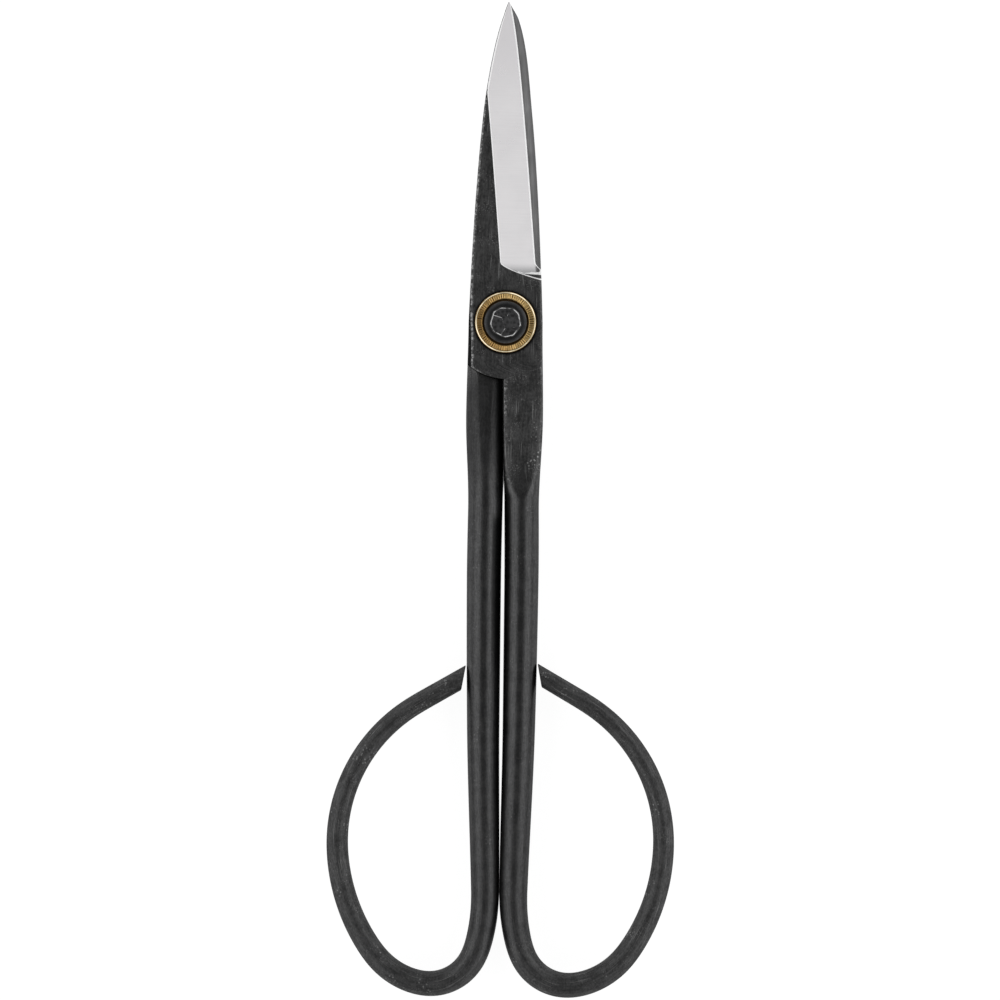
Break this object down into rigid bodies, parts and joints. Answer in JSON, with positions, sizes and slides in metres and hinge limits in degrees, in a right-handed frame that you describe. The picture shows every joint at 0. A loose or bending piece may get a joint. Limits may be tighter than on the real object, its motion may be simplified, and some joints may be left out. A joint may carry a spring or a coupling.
{
  "type": "floral snips",
  "caption": "Long-handled forged flower scissors with bevel-ground blades, round shanks and open finger bows, turning on a riveted pivot with brass cup washers.",
  "frame": {"origin": "on the pivot axis, at the flat end of the rivet's back head, which touches the table the closed tool lies on", "axes": "+Y along the tool from the pivot to the blade tips, +Z along the pivot axis out of the front face, +X towards the right-hand bow seen from the front"},
  "size_m": [0.0736, 0.2096, 0.0135],
  "materials": {
    "blackened_steel": "black oxide over brushed forging, semi-matte, blade bevel ground bright",
    "rivet_steel": "blackened, peened",
    "spring_steel": "blackened, satin",
    "brass": "bright rim, fine radial knurl"
  },
  "bodies": {
    "back_half": {"back_arm": "blackened_steel", "pivot_rivet": "rivet_steel", "front_brass_washer": "brass", "front_spring_washer": "spring_steel", "back_brass_washer": "brass", "back_spring_washer": "spring_steel"},
    "front_half": {"front_arm": "blackened_steel"}
  },
  "joints": [
    {"name": "blade_pivot", "type": "hinge", "parent": "back_half", "child": "front_half", "pos_m": [0, 0, 0.00675], "axis": [0, 0, 1], "range_deg": [0, 90]}
  ]
}
